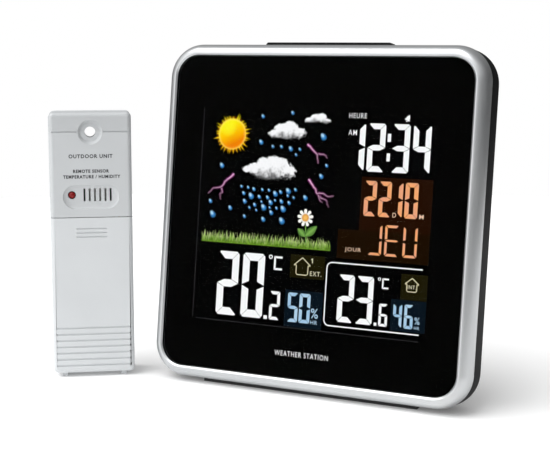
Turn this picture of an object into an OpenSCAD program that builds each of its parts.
// Home weather station: a leaning desk display with a fold-out leg, and its wireless outdoor sensor.
// The display is drawn in a panel frame: X to the right, Y up the panel, Z out of the panel.
// Depths behind the panel are therefore negative Z. The sensor has a frame of the same kind.

/* [Display unit] */
// Side of the square display unit
case_w = 161.6; // [156:0.2:170]
// Depth from the clear panel to the back of the case
case_d = 25; // [25:0.5:28]
// Radius of the outer corners
corner_r = 16.6; // [16:0.2:19]
// Width of the silver rim round the panel
rim_w = 5.7; // [5.4:0.1:7]
// Wall thickness of the rear case
wall = 2; // [1.6:0.2:2.4]
// Width and height of the visible liquid crystal window
window = [119.2, 102.2]; // [90:0.2:120]

/* [Stance] */
// Backward lean of the panel on the desk, in degrees
lean = 7.7; // [7:0.1:9]
// Height of the lower front edge above the desk
heel_h = 2.8; // [2.4:0.1:3]
// Opening angle of the rear leg, in degrees
leg_open = 24; // [23:0.5:25]
// Width of the rear leg
leg_w = 46; // [36:1:48]

/* [Controls] */
// Length of the snooze bar on top
snooze_w = 64; // [50:1:70]
// Travel of the snooze bar
snooze_travel = 1.2; // [0.8:0.1:1.2]
// Height of a rear button above the back
button_proud = 0.9; // [0.6:0.1:1.2]

/* [Outdoor sensor] */
// Width of the sensor
sensor_w = 39.5; // [39.5:0.5:44]
// Height of the sensor on its feet
sensor_h = 130; // [128:1:136]
// Depth of the sensor
sensor_d = 21; // [21:0.5:24]
// Where the sensor stands, measured from the middle of the display's front foot
sensor_at = [-113.3, -10.9]; // [-160:0.1:160]
// Turn of the sensor towards the room, in degrees
sensor_turn = 35; // [0:1:60]

/* [Hidden] */
$fn = 48;

half = case_w / 2;
seam_d = 7.6;          // depth where the silver rim meets the rear case
straight_d = 16.2;     // depth where the case sides start to curve in
case_in = 0.1;         // step from the rim's outer edge in to the case's side
back_in = 12;          // inset of the flat back from the rim's outer edge
rim_proud = 0.6;       // height of the rim above the panel
rim_peak = 4.8;        // inset of the rim's highest line
rim_wide_d = 6.9;      // depth of the rim's widest line
ledge_w = 13;          // inset of the inner edge of the panel ledge
panel_w = case_w - 2 * rim_w;

// Depths of the layers behind the panel
lens_d = 1.5;
window_at = [-0.6, -0.6];
mask_d = 1.7;
ledge_d = 2;
ledge_back_d = 3.4;
lcd_d = 2.2;
lcd_t = 2.4;
lcd_size = [124, 108];
lcd_ledge = 4;         // strip of the crystal's rear glass left bare for its contacts
diffuser_d = 4.7;
guide_d = 5;
guide_t = 2.4;
film_t = 0.2;
film_size = [120, 103];
film_at = [0, 1.5];
holder_back_d = 8.2;
board_d = 8.2;
board_t = 1.2;
board_back_d = board_d + board_t;

// Where the pieces on the main board stand
board_screw_at = [67, 30];
chip_at = [0, 8];
receiver_at = [54, 8];
antenna_x = 66.5;
antenna_d = 12;
antenna_r = 0.5;

// Fixing screws of the case, through the corner arcs' centres
post_at = half - corner_r;
post_r = 4.6;
screw_head_d = case_d - 4.5;
screw_r = 1.1;

// Front foot: its depth behind the panel and the desk's line in the panel frame
foot_d = 10.5;
foot_t = 5;
foot_w = 110;
function desk_y(d) = -half + d * tan(lean) - heel_h / cos(lean);
rest_shift = -(foot_d * cos(lean) + (desk_y(foot_d) + half) * sin(lean));

// Leg, drawn folded flat against the back and then swung open about its pin
leg_t = 2.6;
leg_gap = 0.5;
pin_r = 1.2;
barrel_r = 2.4;
hinge_y = 3;
hinge_d = case_d - barrel_r - 0.15;
bend_r = 15.5;
bend_a = 70;
bend_y = 14 - half;
pad_t = 1.2;
ear_w = 3.4;

// Battery bay: three AAA cells side by side
cell_r = 5.25;
cell_l = 43.3;
nub_r = 1.9;
nub_l = 1.2;
cell_pitch = 11.2;
bay_y = 41.7;
bay = [53, 35];
bay_floor_d = 12.3;
bay_wall = 1.4;
cell_d = 17.6;
contact_t = 0.5;
cell_run = bay.x / 2 - contact_t;
door = [60, 41];
door_t = 1.8;
door_gap = 0.3;

// Rear buttons in two columns
button_x = 48;
button_rows = [18, 32, 46];
button_size = [13, 7];
button_gap = 0.3;
button_board_d = 16.6;
switch_d = button_board_d + 1.2;
keyhole_y = 61;
keyhole_r = 4.2;
keyhole_slot_r = 2.1;
keyhole_rise = 5.5;
keyhole_deep = 5;
jack_at = [-52, -46];
jack_r = 2.75;
buzzer_at = [50, -24];
sound_hole_r = 0.9;
room_at = [-54, -12];
room_vent = [1.6, 18];

// Snooze bar: its depth and thickness, its height above the case, and its two switches below
snooze_d = seam_d + 0.3;
snooze_t = 6.2;
snooze_mid_d = snooze_d + snooze_t / 2;
snooze_proud = 1.4;
snooze_low = half - 4.2;
snooze_switch_x = 18;
snooze_board_y = 66.6;
snooze_switch_h = 3.2;
snooze_stem_h = 0.7;
snooze_stem_top = snooze_board_y + 0.6 + snooze_switch_h + snooze_stem_h;

// Outdoor sensor
sensor_foot_h = 1.8;
sensor_foot_x = 14.4;
sensor_foot_w = 2.6;
sensor_body_h = sensor_h - sensor_foot_h;
sensor_mid = sensor_foot_h + sensor_body_h / 2;
sensor_size = [sensor_w, sensor_body_h];
sensor_r = 2.4;
sensor_edge_r = 2.2;
sensor_inner_r = 0.7;
sensor_wall = 1.6;
sensor_split_d = 9;
sensor_seam_y = sensor_h - 50.8;
hang_y = sensor_h - 9.5;
hang_r = 2.6;
hang_wide_r = 3.6;
hang_wide_d = 8.4;
hang_tube_r = 5;
aa_r = 7.25;
aa_l = 49.3;
aa_nub_r = 2.75;
aa_nub_l = 1.2;
aa_x = 7.6;
aa_d = 10.6;
tray_y = [12, 69];
aa_mid = (tray_y[0] + tray_y[1]) / 2;
aa_run = (tray_y[1] - tray_y[0]) / 2 - contact_t;
led_at = [-9.2, sensor_h - 39.9];
led_r = 1.7;
led_dome_d = 2;
vent_x0 = -3.2;
vent_pitch = 2.52;
reset_at = [11, 74.5];
sensor_post = [14.6, 108];
sensor_screw_d = sensor_d - 3;
probe_x = 3.1;
whip_r = 0.4;
whip_d = 9.4;

// ---- Shapes shared by the parts ----

// Puts the display's panel frame on the desk: leaning back, front foot on the origin
module on_desk() {
    translate([0, rest_shift, heel_h])
        rotate([90 - lean, 0, 0])
            translate([0, half, 0]) children();
}

// Puts the sensor's frame on the desk: X right, Y up, Z out of its front
module at_sensor() {
    translate([sensor_at.x, sensor_at.y, 0])
        rotate([90, 0, sensor_turn])
            translate([0, 0, sensor_d / 2]) children();
}

// Repeats a piece at the sensor's two screw posts
module at_sensor_posts() {
    for (s = [-1, 1])
        translate([s * sensor_post.x, sensor_post.y, 0]) children();
}

// Box between two depths, centred on a point of the panel
module slab(size, d0, d1, at = [0, 0]) {
    translate([at.x - size.x / 2, at.y - size.y / 2, -d1]) cube([size.x, size.y, d1 - d0]);
}

// Upright cylinder between two depths
module peg(r, d0, d1, at = [0, 0]) {
    translate([at.x, at.y, -d1]) cylinder(r = r, h = d1 - d0);
}

// Plate with round corners between two depths
module plate(size, r, d0, d1, at = [0, 0]) {
    slab([size.x - 2 * r, size.y], d0, d1, at);
    slab([size.x, size.y - 2 * r], d0, d1, at);
    for (sx = [-1, 1], sy = [-1, 1])
        peg(r, d0, d1, at + [sx * (size.x / 2 - r), sy * (size.y / 2 - r)]);
}

// Pill with its long side along X
module pill(size, d0, d1, at = [0, 0]) {
    slab([size.x - size.y, size.y], d0, d1, at);
    for (s = [-1, 1])
        peg(size.y / 2, d0, d1, at + [s * (size.x - size.y) / 2, 0]);
}

// Section swept round a rounded rectangle; section points are [inset from the edge, height]
module edge_loop(size, r, section) {
    for (a = [0, 180]) rotate([0, 0, a]) {
        translate([size.x / 2 - r, size.y / 2 - r, 0])
            rotate_extrude(angle = 90, $fn = 96) polygon([for (p = section) [r - p.x, p.y]]);
        translate([size.x / 2 - r, r - size.y / 2, 0]) rotate([0, 0, -90])
            rotate_extrude(angle = 90, $fn = 96) polygon([for (p = section) [r - p.x, p.y]]);
        rotate([90, 0, 0]) translate([0, 0, r - size.y / 2])
            linear_extrude(size.y - 2 * r) polygon([for (p = section) [size.x / 2 - p.x, p.y]]);
        rotate([90, 0, 90]) translate([0, 0, r - size.x / 2])
            linear_extrude(size.x - 2 * r) polygon([for (p = section) [size.y / 2 - p.x, p.y]]);
    }
}

// Solid block whose edge follows the section; the section runs from the front to the back
module edge_block(size, r, section) {
    front = section[0].y;
    back = section[len(section) - 1].y;
    edge_loop(size, r, concat([[r, front]], section, [[r, back]]));
    slab([size.x - 2 * r, size.y - 2 * r], -max(front, back), -min(front, back));
}

// Arc points from angle a0 to a1 in a section
function arc(cx, cy, rx, ry, a0, a1, steps) =
    [for (i = [0:steps]) let (a = a0 + (a1 - a0) * i / steps) [cx + rx * cos(a), cy + ry * sin(a)]];

// Extrudes a [panel Y, panel Z] outline to a width along X
module across(w) {
    rotate([90, 0, 90]) translate([0, 0, -w / 2]) linear_extrude(w) children();
}

// Rings that stand for a compression spring, from the wide end to the narrow end
module ring_spring(r0, r1, wire, turns) {
    for (i = [0:turns - 1])
        translate([0, 0, i * wire * 1.9])
            rotate_extrude() translate([r0 + (r1 - r0) * i / (turns - 1), 0]) circle(r = wire, $fn = 16);
}

// Repeats a piece at the four screw posts in the display's corners
module at_posts() {
    for (sx = [-1, 1], sy = [-1, 1])
        translate([sx * post_at, sy * post_at, 0]) children();
}

// ---- Display: front ----

// Rounded outer face up to the rim's highest line, then a narrow bevel down to the panel
function rim_front() = concat(
    arc(rim_peak, -rim_wide_d, -rim_peak, rim_wide_d + rim_proud, 0, 90, 12),
    [[rim_peak + 0.15, rim_proud - 0.05], [rim_w, 0]]);

module bezel() {
    skin = 2.6;
    color("silver") on_desk() {
        edge_loop([case_w, case_w], corner_r, concat(
            [[skin, -seam_d], [0.3, -seam_d], [0.05, 0.3 - seam_d]],
            rim_front(),
            [[rim_w, -ledge_d], [ledge_w, -ledge_d], [ledge_w, -ledge_back_d], [skin, -ledge_back_d]]));
        at_posts() difference() {
            peg(post_r, ledge_d, seam_d);
            peg(screw_r + 0.02, ledge_d - 1, seam_d + 1);
        }
    }
}

module front_lens() {
    play = 0.1;
    color("black", 0.4) on_desk()
        plate([panel_w - 2 * play, panel_w - 2 * play], corner_r - rim_w - play, 0, lens_d);
}

module lens_mask() {
    play = 0.3;
    color("black") on_desk() difference() {
        plate([panel_w - 2 * play, panel_w - 2 * play], corner_r - rim_w - play, lens_d, mask_d);
        plate(window, 1, lens_d - 1, mask_d + 1, window_at);
    }
}

module lens_tape() {
    tape_in = rim_w + 0.5;
    tape_out = ledge_w - 0.5;
    color("white") on_desk()
        edge_loop([case_w, case_w], corner_r,
            [[tape_in, -mask_d], [tape_out, -mask_d], [tape_out, -ledge_d], [tape_in, -ledge_d]]);
}

module lcd_panel() {
    color("darkslategray") on_desk() {
        slab(lcd_size - [0, lcd_ledge], lcd_d, lcd_d + lcd_t / 2, [0, lcd_ledge / 2]);
        slab(lcd_size, lcd_d + lcd_t / 2, lcd_d + lcd_t);
    }
}

module diffuser_film() {
    color("white") on_desk() slab(film_size, diffuser_d, guide_d, film_at);
}

module light_guide() {
    color("whitesmoke") on_desk() slab(film_size, guide_d, guide_d + guide_t, film_at);
}

module reflector_film() {
    color("white") on_desk() slab(film_size, guide_d + guide_t, guide_d + guide_t + film_t, film_at);
}

// Eight lamps on a strip beside the light guide
module backlight_leds() {
    strip_x = film_size.x / 2 + 1.7;
    lamp_pitch = 12;
    color("gold") on_desk() {
        slab([1, 100], guide_d, guide_d + guide_t, [strip_x, film_at.y]);
        for (i = [-3.5:1:3.5])
            slab([0.9, 3.5], guide_d + 0.3, guide_d + 2.1, [strip_x - 1, film_at.y + i * lamp_pitch]);
    }
}

// Two rubber connectors under the bare strip of the crystal
module zebra_strip() {
    strip = [54, 1.8];
    color("dimgray") on_desk()
        for (s = [-1, 1])
            slab(strip, lcd_d + lcd_t, board_d, [s * (strip.x / 2 + 2), 1.6 - lcd_size.y / 2]);
}

module lcd_holder() {
    ring = [130, 114];
    hole = [124.6, 108.6];
    color("white") on_desk() difference() {
        union() {
            slab(ring, lcd_d, holder_back_d);
            at_board_screws() peg(2.8, ledge_back_d + 0.2, holder_back_d);
        }
        slab(hole, lcd_d - 1, holder_back_d + 1);
        at_board_screws() peg(1.02, ledge_back_d, holder_back_d + 1);
    }
}

// ---- Display: electronics ----

// Repeats a piece at the four screws that hold the board to the holder
module at_board_screws() {
    for (sx = [-1, 1], sy = [-1, 1])
        translate([sx * board_screw_at.x, sy * board_screw_at.y, 0]) children();
}

module main_board() {
    color("darkgreen") on_desk() difference() {
        plate([140, 105], 2, board_d, board_back_d, [0, -2.5]);
        at_board_screws() peg(1.3, board_d - 1, board_back_d + 1);
    }
}

module board_screws() {
    color("gray") on_desk() at_board_screws() {
        peg(1, ledge_back_d + 0.8, board_back_d);
        peg(2.2, board_back_d, board_back_d + 1.2);
    }
}

// Epoxy blob over the controller, its memory chip and its crystal
module controller_chip() {
    color("black") on_desk() {
        peg(8, board_back_d, board_back_d + 1, chip_at);
        slab([7, 5], board_back_d, board_back_d + 1.4, chip_at - [24, 6]);
        peg(1, board_back_d, board_back_d + 1.6, chip_at + [16, 4]);
    }
}

// Small upright board with its coil can, on a row of five pins
module receiver_module() {
    pins = 5;
    pin_pitch = 2;
    color("darkgreen") on_desk() {
        slab([14, 26], board_back_d + 1, board_back_d + 2, receiver_at);
        slab([11, 4.5], board_back_d + 2, board_back_d + 5, receiver_at + [0, 7]);
        for (i = [0:pins - 1])
            slab([0.8, 0.8], board_back_d, board_back_d + 1, receiver_at + [pin_pitch * (i - 2), -11]);
    }
}

// Straight wire up the side of the case with a short leg in to the module
module receiver_antenna() {
    low_y = -18;
    reach = 60;
    leg = 5.5;
    color("peru") on_desk() {
        translate([antenna_x, low_y + reach, -antenna_d])
            rotate([90, 0, 0]) cylinder(r = antenna_r, h = reach);
        translate([antenna_x - leg, low_y, -antenna_d])
            rotate([0, 90, 0]) cylinder(r = antenna_r, h = leg + antenna_r);
    }
}

module room_sensor() {
    color("white") on_desk() {
        slab([12, 1.2], board_back_d, 18, room_at);
        slab([5, 2.6], 15, 20, room_at + [0, 1.9]);
    }
}

module buzzer() {
    color("black") on_desk() difference() {
        peg(7, board_back_d, board_back_d + 4, buzzer_at);
        peg(1.2, board_back_d + 1, board_back_d + 5, buzzer_at);
    }
}

module dc_jack() {
    deep = 9;
    color("black") on_desk() {
        difference() {
            slab([9, 8], board_back_d, case_d - wall - 0.2, jack_at);
            peg(jack_r, case_d - wall - deep, case_d, jack_at);
        }
        peg(1, case_d - wall - deep, case_d - wall - 1, jack_at);
    }
}

module snooze_switches() {
    color("dimgray") on_desk() {
        slab([48, 1.2], snooze_d + 0.6, snooze_d + snooze_t - 0.2, [0, snooze_board_y]);
        for (s = [-1, 1])
            translate([s * snooze_switch_x, snooze_board_y + 0.6, -snooze_mid_d]) {
                translate([-3, 0, -2.4]) cube([6, snooze_switch_h, 4.8]);
                translate([0, snooze_switch_h, 0]) rotate([-90, 0, 0])
                    cylinder(r = 1.5, h = snooze_stem_h);
            }
    }
}

module button_boards() {
    color("darkgreen") on_desk()
        for (s = [-1, 1])
            slab([13, 44], button_board_d, switch_d, [s * button_x, button_rows[1]]);
}

module button_switches() {
    color("dimgray") on_desk()
        for (s = [-1, 1], y = button_rows) {
            slab([6, 6], switch_d, switch_d + 2.2, [s * button_x, y]);
            peg(1.6, switch_d + 2.2, switch_d + 3, [s * button_x, y]);
        }
}

// ---- Display: rear case ----

// Edge of the case, set in by grow from the outer surface, from the seam to the back
function case_section(grow, start_d) = concat(
    [[case_in + grow, -start_d]],
    arc(back_in, -straight_d, case_in + grow - back_in, grow - (case_d - straight_d), 0, 90, 9));

// Outline on the leg's inner side, moved inwards by gap, closed far outside the case
module leg_pocket_outline(gap) {
    inner_r = bend_r - leg_t - gap;
    centre_z = bend_r - case_d;
    end = [bend_y - inner_r * sin(bend_a + 5), centre_z - inner_r * cos(bend_a + 5)];
    polygon(concat(
        [[hinge_y, -case_d - 5], [hinge_y, centre_z - inner_r]],
        [for (a = [0:10:bend_a]) [bend_y - inner_r * sin(a), centre_z - inner_r * cos(a)]],
        [end, [-half - 10, end.y + 0.2], [-half - 10, -case_d - 5]]));
    translate([hinge_y, -hinge_d]) circle(r = barrel_r + gap);
    translate([hinge_y - barrel_r, -case_d - 5]) square([2 * barrel_r + gap, 5 + barrel_r]);
}

// Wall keyhole: round for the screw's head, with a slot up for its shank
module keyhole(x) {
    peg(keyhole_r, case_d - keyhole_deep, case_d + 1, [x, keyhole_y]);
    peg(keyhole_slot_r, case_d - keyhole_deep, case_d + 1, [x, keyhole_y + keyhole_rise]);
    slab([2 * keyhole_slot_r, keyhole_rise], case_d - keyhole_deep, case_d + 1,
        [x, keyhole_y + keyhole_rise / 2]);
}

// Everything inside the case that stands on its back wall
module case_inner_blocks() {
    bay_out = bay + [2 * bay_wall, 2 * bay_wall];
    slab(bay_out, bay_floor_d - 1, case_d, [0, bay_y]);
    slab(door + [4, 4], case_d - door_t - 1.6, case_d, [0, bay_y]);
    across(leg_w + 2 * leg_gap + 2 * ear_w) leg_pocket_outline(leg_gap + wall);
    for (s = [-1, 1]) {
        plate([12, 17], 4, case_d - keyhole_deep - 1.4, case_d, [s * button_x, keyhole_y + 2.2]);
        for (i = [0, 1])
            peg(1.6, switch_d, case_d, [s * button_x, (button_rows[i] + button_rows[i + 1]) / 2]);
    }
    at_posts() peg(4.2, seam_d, case_d);
}

module rear_case() {
    ear_x = leg_w / 2 + leg_gap;
    color([0.09, 0.09, 0.1]) on_desk() difference() {
        union() {
            difference() {
                edge_block([case_w, case_w], corner_r, case_section(0, seam_d));
                edge_block([case_w, case_w], corner_r, case_section(wall, seam_d - 1));
            }
            intersection() {
                edge_block([case_w, case_w], corner_r, case_section(0.3, seam_d));
                case_inner_blocks();
            }
        }
        // Leg pocket and the two blind bores of its pin
        across(leg_w + 2 * leg_gap) leg_pocket_outline(leg_gap);
        for (s = [-1, 1]) translate([s * ear_x, hinge_y, -hinge_d]) rotate([0, s * 90, 0])
            translate([0, 0, -0.5]) cylinder(r = pin_r + 0.05, h = 3.5);
        // Battery bay with its door recess and finger notch
        slab(bay, bay_floor_d, case_d + 1, [0, bay_y]);
        plate(door + 2 * [door_gap, door_gap], 3 + door_gap, case_d - door_t, case_d + 1, [0, bay_y]);
        peg(6, case_d - 1.4, case_d + 1, [0, bay_y + door.y / 2 + 1]);
        // Rear buttons, wall keyholes, power inlet, sound holes and vents
        for (s = [-1, 1], y = button_rows)
            pill(button_size + 2 * [button_gap, button_gap], case_d - wall - 1, case_d + 1,
                [s * button_x, y]);
        for (s = [-1, 1]) keyhole(s * button_x);
        peg(jack_r + 0.6, case_d - wall - 1, case_d + 1, jack_at);
        for (a = [0:60:300])
            peg(sound_hole_r, case_d - wall - 1, case_d + 1, buzzer_at + 4 * [cos(a), sin(a)]);
        peg(sound_hole_r, case_d - wall - 1, case_d + 1, buzzer_at);
        for (i = [-2.5:1:2.5])
            slab(room_vent, case_d - wall - 1, case_d + 1, room_at + [4 * i, 0]);
        // Snooze slot in the top wall
        slab([snooze_w + 0.6, 12], seam_d - 1, snooze_d + snooze_t + 0.3, [0, half - 2]);
        // Case screws: clearance hole and deep counterbore
        at_posts() {
            peg(1.5, seam_d - 1, case_d);
            peg(2.8, screw_head_d, case_d + 1);
        }
    }
}

// Cross-head screws
module case_screws() {
    cross = [2.6, 0.6];
    cross_d = screw_head_d + 0.9;
    color("gray") on_desk() at_posts() difference() {
        union() {
            peg(screw_r, ledge_back_d + 0.2, screw_head_d);
            peg(2.5, screw_head_d, screw_head_d + 1.6);
        }
        slab(cross, cross_d, case_d);
        slab([cross.y, cross.x], cross_d, case_d);
    }
}

module desk_feet() {
    d0 = foot_d - foot_t / 2;
    d1 = foot_d + foot_t / 2;
    color("dimgray") on_desk() across(foot_w)
        polygon([[desk_y(d0), -d0], [case_in - half, -d0], [case_in - half, -d1], [desk_y(d1), -d1]]);
}

// ---- Display: moving parts ----

module snooze_bar() {
    top = half + snooze_proud;
    end = snooze_w / 2;
    cap = 0.9;
    flange_t = 1.2;
    pusher_low = snooze_stem_top + snooze_travel + 0.1;
    color("black") on_desk() {
        // Bar with bevelled ends
        translate([0, 0, -snooze_d - snooze_t]) linear_extrude(snooze_t)
            polygon([[-end, snooze_low], [end, snooze_low], [end, top - cap],
                [end - cap, top], [cap - end, top], [-end, top - cap]]);
        // Retaining flange under the top wall, and the two pushers
        slab([snooze_w + 4, flange_t], snooze_d + 0.4, snooze_d + snooze_t - 0.4,
            [0, half - case_in - wall - 0.2 - flange_t / 2]);
        for (s = [-1, 1])
            slab([4, snooze_low + 0.5 - pusher_low], snooze_mid_d - 1.8, snooze_mid_d + 1.8,
                [s * snooze_switch_x, (snooze_low + 0.5 + pusher_low) / 2]);
    }
}

module rear_button(x, y) {
    flange_d = case_d - wall - 0.4;
    on_desk() {
        pill(button_size - [1, 1], case_d, case_d + button_proud, [x, y]);
        pill(button_size, flange_d - 0.5, case_d + button_proud - 0.5, [x, y]);
        pill(button_size + [2, 2], flange_d - 1, flange_d, [x, y]);
    }
}

module set_button() { color("dimgray") rear_button(-button_x, button_rows[2]); }
module alarm_button() { color("dimgray") rear_button(-button_x, button_rows[1]); }
module light_button() { color("dimgray") rear_button(-button_x, button_rows[0]); }
module up_button() { color("dimgray") rear_button(button_x, button_rows[2]); }
module down_button() { color("dimgray") rear_button(button_x, button_rows[1]); }
module channel_button() { color("dimgray") rear_button(button_x, button_rows[0]); }

module battery_door() {
    color([0.1, 0.1, 0.11]) on_desk() difference() {
        plate(door, 3, case_d - door_t + 0.1, case_d, [0, bay_y]);
        for (i = [0:2]) pill([16, 0.8], case_d - 0.5, case_d + 1, [0, bay_y + door.y / 2 - 4 - 2 * i]);
        peg(5, case_d - 0.9, case_d + 1, [0, bay_y + door.y / 2 + 1]);
    }
}

// Cells lie along X, with the nub pointing to alternate sides
module battery_cells() {
    for (i = [-1:1]) color(i == 0 ? "gold" : "dimgray") on_desk()
        translate([0, bay_y + i * cell_pitch, -cell_d]) rotate([0, i == 0 ? -90 : 90, 0]) {
            translate([0, 0, cell_run - nub_l - cell_l]) cylinder(r = cell_r, h = cell_l);
            translate([0, 0, cell_run - nub_l]) cylinder(r = nub_r, h = nub_l);
        }
}

module battery_springs() {
    room = 2 * cell_run - nub_l - cell_l;
    wire = 0.4;
    color("silver") on_desk() for (i = [-1:1])
        translate([0, bay_y + i * cell_pitch, -cell_d]) rotate([0, i == 0 ? -90 : 90, 0])
            translate([0, 0, wire - cell_run])
                ring_spring(4.2, 2, wire, floor((room - 2 * wire) / (wire * 1.9)));
}

module battery_contacts() {
    side = 9;
    color("silver") on_desk() for (s = [-1, 1], i = [-1:1])
        slab([contact_t, side], cell_d - side / 2, cell_d + side / 2,
            [s * (bay.x - contact_t) / 2, bay_y + i * cell_pitch]);
}

// Leg plate's outline, folded against the back
module leg_outline() {
    inner = bend_r - leg_t;
    centre_z = bend_r - case_d;
    polygon(concat(
        [[hinge_y, leg_t - case_d], [hinge_y, -case_d]],
        [for (a = [0:7:bend_a]) [bend_y - bend_r * sin(a), centre_z - bend_r * cos(a)]],
        [for (a = [bend_a:-7:0]) [bend_y - inner * sin(a), centre_z - inner * cos(a)]]));
}

// Turns the leg about its pin from folded to open
module swung_open() {
    translate([0, hinge_y, -hinge_d]) rotate([leg_open, 0, 0])
        translate([0, -hinge_y, hinge_d]) children();
}

// Everything lower than height h above the desk, seen from the side
module under(h) {
    rise = h / cos(lean);
    across(leg_w + 4)
        polygon([[desk_y(0) + rise, 0], [desk_y(100) + rise, -100], [-300, -100], [-300, 0]]);
}

module stand_leg() {
    color([0.1, 0.1, 0.11]) on_desk() difference() {
        swung_open() {
            across(leg_w) leg_outline();
            translate([-leg_w / 2, hinge_y, -hinge_d]) rotate([0, 90, 0]) cylinder(r = barrel_r, h = leg_w);
        }
        under(pad_t);
        translate([-leg_w, hinge_y, -hinge_d]) rotate([0, 90, 0]) cylinder(r = pin_r, h = 2 * leg_w);
    }
}

module leg_pad() {
    color("dimgray") on_desk() difference() {
        intersection() {
            swung_open() across(leg_w) leg_outline();
            under(pad_t);
        }
        under(0);
    }
}

module leg_pin() {
    reach = leg_w / 2 + leg_gap + 2.6;
    color("silver") on_desk() translate([-reach, hinge_y, -hinge_d])
        rotate([0, 90, 0]) cylinder(r = pin_r, h = 2 * reach);
}

// ---- Outdoor sensor ----

// Front half, set in by grow from the outer surface, its front edge rounded by round_r
module sensor_front_half(grow, round_r, back_d) {
    translate([0, sensor_mid, 0]) edge_block(sensor_size, sensor_r, concat(
        [[grow, -back_d]],
        arc(grow + round_r, -grow - round_r, -round_r, round_r, 0, 90, 6)));
}

module sensor_front_shell() {
    difference() {
        sensor_front_half(0, sensor_edge_r, sensor_split_d);
        sensor_front_half(sensor_wall, sensor_inner_r, sensor_split_d + 1);
    }
}

module above_seam(gap) {
    slab([sensor_w + 2, 100], -1, sensor_d + 1, [0, sensor_seam_y + gap + 50]);
}

// Soft hollow shaped as a pill, deepest in its middle; its wall curves in over a width of soft
module scoop(size, depth, soft) {
    r = size.y / 2;
    half_l = (size.x - size.y) / 2;
    steps = 8;
    wall_curve = arc(r - soft, 0, soft, -depth, 0, 90, steps);
    mirrored = [for (i = [steps:-1:0]) [-wall_curve[i].x, wall_curve[i].y]];
    for (s = [-1, 1]) translate([s * half_l, 0, 0]) rotate([0, 0, s * 90 - 180])
        rotate_extrude(angle = 180, $fn = 64) polygon(concat([[0, 1], [r, 1]], wall_curve, [[0, -depth]]));
    translate([-half_l, 0, 0]) rotate([90, 0, 90]) linear_extrude(2 * half_l)
        polygon(concat([[-r, 1], [r, 1]], wall_curve, mirrored));
}

module sensor_front() {
    recess = [27, 11.7];
    recess_t = 1.1;
    recess_y = led_at.y - 0.9;
    groove_l = 12;
    dish_r = 5.9;
    dish_deep = 1.4;
    color("whitesmoke") at_sensor() difference() {
        union() {
            intersection() {
                sensor_front_shell();
                above_seam(0.15);
            }
            peg(hang_tube_r, sensor_wall - 0.4, sensor_d - 0.2, [0, hang_y]);
            pill(recess, sensor_wall - 0.4, sensor_wall + recess_t, [0, recess_y]);
            at_sensor_posts() peg(2.4, sensor_wall - 0.4, 12);
        }
        // Hanging hole, wider behind its front lip
        peg(hang_r, -1, hang_wide_d + 0.1, [0, hang_y]);
        peg(hang_wide_r, hang_wide_d, sensor_d + 1, [0, hang_y]);
        translate([0, hang_y, -dish_deep])
            cylinder(r1 = dish_r - 1.3, r2 = dish_r + 0.1, h = dish_deep + 0.1);
        translate([0, recess_y, 0]) scoop(recess, recess_t, 2.8);
        peg(led_r + 0.25, -1, 5, led_at);
        for (i = [0:5]) slab([0.9, 6.2], -1, 5, [vent_x0 + i * vent_pitch, led_at.y]);
        for (s = [-1, 1]) slab([groove_l, 0.6], -1, 0.4, [s * (dish_r + 0.4 + groove_l / 2), hang_y + 0.2]);
        at_sensor_posts() peg(0.9, 4, 13);
    }
}

module sensor_cover() {
    grip_y = sensor_h - 56.3;
    grip_pitch = 2;
    rib_y = sensor_h - 105.5;
    rib_pitch = 3.13;
    color("whitesmoke") at_sensor() difference() {
        union() {
            difference() {
                sensor_front_shell();
                above_seam(-0.15);
            }
            sensor_feet(3, 8.6);
        }
        for (i = [0:2]) slab([14.6, 0.6], -1, 0.5, [0, grip_y - grip_pitch * i]);
        for (i = [0:6]) slab([sensor_w - 3.4, 0.8], -1, 0.5, [0, rib_y - rib_pitch * i]);
    }
}

// Pair of feet between two depths
module sensor_feet(d0, d1) {
    for (s = [-1, 1])
        slab([sensor_foot_w, sensor_foot_h + 0.3], d0, d1, [s * sensor_foot_x, (sensor_foot_h + 0.3) / 2]);
}

module sensor_back() {
    front_d = sensor_split_d + 0.2;
    color("white") at_sensor() {
        difference() {
            union() {
                difference() {
                    sensor_back_half(0, sensor_edge_r, front_d);
                    sensor_back_half(sensor_wall, sensor_inner_r, front_d - 1);
                }
                at_sensor_posts() peg(3, 12.2, sensor_d - 1);
            }
            peg(hang_tube_r + 0.2, 0, sensor_d + 1, [0, hang_y]);
            at_sensor_posts() {
                peg(1.3, 12, sensor_d + 1);
                peg(2.3, sensor_screw_d, sensor_d + 1);
            }
        }
        sensor_feet(front_d + 0.2, sensor_d - 1.6);
    }
}

// Back half, set in by grow from the outer surface, its back edge rounded by round_r
module sensor_back_half(grow, round_r, front_d) {
    translate([0, sensor_mid, 0]) edge_block(sensor_size, sensor_r, concat(
        [[grow, -front_d]],
        arc(grow + round_r, round_r + grow - sensor_d, -round_r, -round_r, 0, 90, 6)));
}

module sensor_seal() {
    color("dimgray") at_sensor() translate([0, sensor_mid, 0])
        edge_loop(sensor_size, sensor_r, [[1.75, -8.2], [2.35, -8.2], [2.35, -10.6], [1.75, -10.6]]);
}

// Back plate and two ends of the battery bay, with the shelf of the reset button
module sensor_tray() {
    tray_w = 34;
    end_t = 1.2;
    shelf = 8;
    plate_d = sensor_d - sensor_wall - 1.2;
    color("gainsboro") at_sensor() difference() {
        union() {
            slab([tray_w, tray_y[1] - tray_y[0] + 2 * end_t], plate_d, plate_d + 1.1, [0, aa_mid]);
            for (y = [tray_y[0] - end_t / 2, tray_y[1] + end_t / 2])
                slab([tray_w, end_t], 4, plate_d + 0.1, [0, y]);
            slab([tray_w, shelf], 7.4, 8.6, [0, tray_y[1] + (end_t + shelf) / 2]);
        }
        peg(1.8, 7, 9, reset_at);
    }
}

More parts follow.
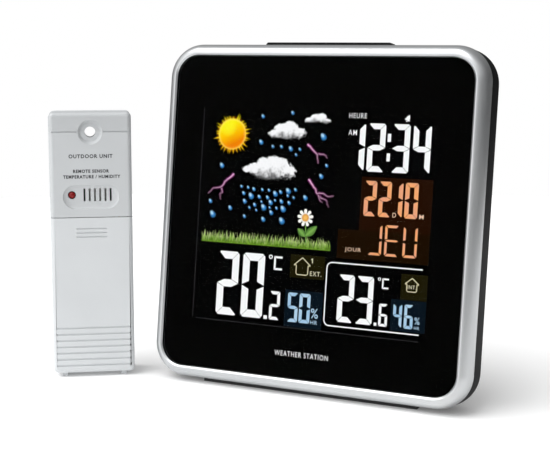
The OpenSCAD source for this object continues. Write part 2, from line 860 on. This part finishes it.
// Board with the reset switch and the radio can
module sensor_board() {
    face_d = 11;
    color("darkgreen") at_sensor() {
        slab([22.8, 40], face_d, face_d + 1.4, [0, 92]);
        slab([4, 4], face_d - 0.6, face_d, reset_at - [1.5, 0]);
        slab([8, 8], face_d - 1, face_d, [2, 104]);
    }
}

module sensor_cells() {
    for (s = [-1, 1]) color(s < 0 ? "gold" : "dimgray") at_sensor()
        translate([s * aa_x, aa_mid, -aa_d]) rotate([s * 90, 0, 0]) {
            translate([0, 0, aa_run - aa_nub_l - aa_l]) cylinder(r = aa_r, h = aa_l);
            translate([0, 0, aa_run - aa_nub_l]) cylinder(r = aa_nub_r, h = aa_nub_l);
        }
}

module sensor_springs() {
    wire = 0.45;
    color("silver") at_sensor() for (s = [-1, 1])
        translate([s * aa_x, aa_mid, -aa_d]) rotate([s * 90, 0, 0])
            translate([0, 0, wire - aa_run]) ring_spring(5.5, 2.8, wire, 6);
}

module sensor_contacts() {
    side = 11;
    color("silver") at_sensor() for (sx = [-1, 1], sy = [-1, 1])
        slab([side, contact_t], aa_d - side / 2, aa_d + side / 2,
            [sx * aa_x, aa_mid + sy * (aa_run + contact_t / 2)]);
}

module sensor_led() {
    color("red") at_sensor() {
        peg(led_r, led_dome_d, 10.9, led_at);
        peg(led_r + 0.5, 9.6, 11, led_at);
        translate([led_at.x, led_at.y, -led_dome_d]) intersection() {
            sphere(r = led_r);
            cylinder(r = led_r + 1, h = led_r + 1);
        }
    }
}

// Humidity and temperature probe behind the vent slots, on two legs
module sensor_probe() {
    body_d = 4.6;
    legs_d = body_d + 2;
    color("white") at_sensor() {
        slab([8, 7], body_d, legs_d, [probe_x, led_at.y]);
        for (s = [-1, 1]) slab([0.8, 0.8], legs_d, 11, [probe_x + 2 * s, led_at.y]);
    }
}

// Wire that leaves the board, steps aside and runs up beside it
module sensor_antenna() {
    foot_at = [10.6, 77.4];
    aside = 2.8;
    reach = 26;
    color("peru") at_sensor() {
        translate([foot_at.x + aside, foot_at.y - whip_r + reach, -whip_d])
            rotate([90, 0, 0]) cylinder(r = whip_r, h = reach);
        translate([foot_at.x, foot_at.y, -whip_d]) rotate([0, 90, 0]) cylinder(r = whip_r, h = aside);
        peg(whip_r, whip_d, 11, foot_at);
    }
}

module reset_button() {
    color("dimgray") at_sensor() {
        peg(1.5, 6.6, 9, reset_at);
        peg(2.2, 8.9, 9.7, reset_at);
    }
}

module sensor_screws() {
    color("gray") at_sensor() at_sensor_posts() {
        peg(0.88, 6, sensor_screw_d);
        peg(2, sensor_screw_d, sensor_screw_d + 1.4);
    }
}

bezel();
front_lens();
lens_mask();
lens_tape();
lcd_panel();
lcd_holder();
diffuser_film();
light_guide();
reflector_film();
backlight_leds();
zebra_strip();
main_board();
controller_chip();
receiver_module();
receiver_antenna();
room_sensor();
buzzer();
dc_jack();
rear_case();
snooze_bar();
snooze_switches();
button_boards();
button_switches();
set_button();
alarm_button();
light_button();
up_button();
down_button();
channel_button();
battery_door();
battery_cells();
battery_springs();
battery_contacts();
stand_leg();
leg_pin();
leg_pad();
desk_feet();
case_screws();
board_screws();
sensor_front();
sensor_back();
sensor_cover();
sensor_seal();
sensor_tray();
sensor_board();
sensor_cells();
sensor_springs();
sensor_contacts();
sensor_led();
sensor_probe();
sensor_antenna();
reset_button();
sensor_screws();
